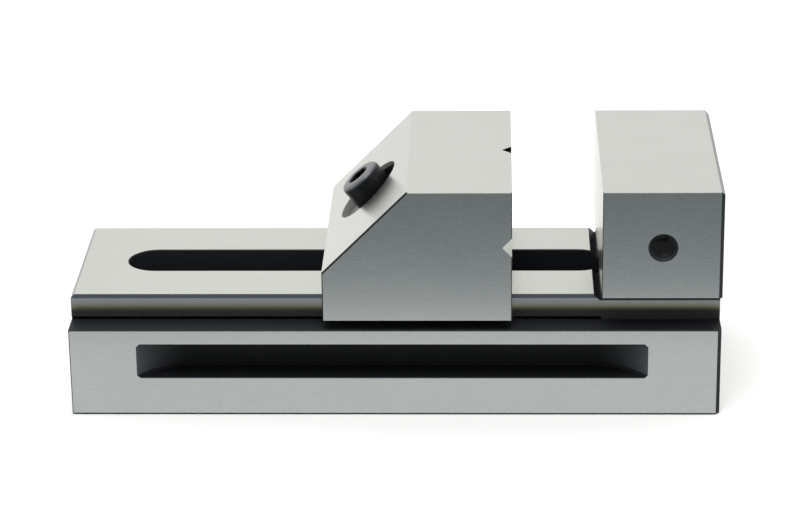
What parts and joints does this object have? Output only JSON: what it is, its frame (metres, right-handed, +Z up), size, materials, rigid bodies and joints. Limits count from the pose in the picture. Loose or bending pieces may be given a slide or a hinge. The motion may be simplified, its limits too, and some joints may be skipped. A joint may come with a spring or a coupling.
{
  "type": "toolmakers vise",
  "caption": "Ground steel toolmakers vise: a fixed jaw on a grooved bed, and a sliding jaw drawn down by a slanting clamp screw and notched cross pin.",
  "frame": {"origin": "middle of the base's underside", "axes": "+X along the bed towards the fixed jaw, +Y across it, +Z up"},
  "size_m": [0.19, 0.073, 0.0694],
  "materials": {
    "ground_steel": "hardened and surface ground, satin; recesses keep the dark scale",
    "black_oxide_steel": "black oxide",
    "plain_steel": "turned and hardened",
    "spring_steel": "drawn wire"
  },
  "bodies": {
    "bed": {"body": "ground_steel"},
    "jaw": {"movable_jaw": "ground_steel"},
    "screw_swivel": {"ball_washer": "plain_steel", "lift_spring": "spring_steel"},
    "screw": {"clamp_screw": "black_oxide_steel"},
    "nut": {"draw_nut": "black_oxide_steel", "cross_pin": "plain_steel", "lock_screw": "black_oxide_steel"}
  },
  "joints": [
    {"name": "jaw_slide", "type": "slide", "parent": "bed", "child": "jaw", "axis": [1, 0, 0], "range_m": [-0.0762, 0.0254]},
    {"name": "screw_rock", "type": "hinge", "parent": "jaw", "child": "screw_swivel", "pos_m": [-0.01132, 0, 0.06172], "axis": [0, 1, 0], "range_deg": [0, 5]},
    {"name": "screw_turn", "type": "hinge", "parent": "screw_swivel", "child": "screw", "pos_m": [-0.01132, 0, 0.06172], "axis": [0.6428, 0, -0.766], "range_deg": [0, 938.8]},
    {"name": "nut_draw", "type": "slide", "parent": "screw_swivel", "child": "nut", "axis": [-0.6428, 0, 0.766], "range_m": [0, 0.00326], "deforming": ["lift_spring"]}
  ],
  "couplings": [
    {"joint": "nut_draw", "follows": "screw_turn", "m_per_rad": 0.00019894}
  ]
}
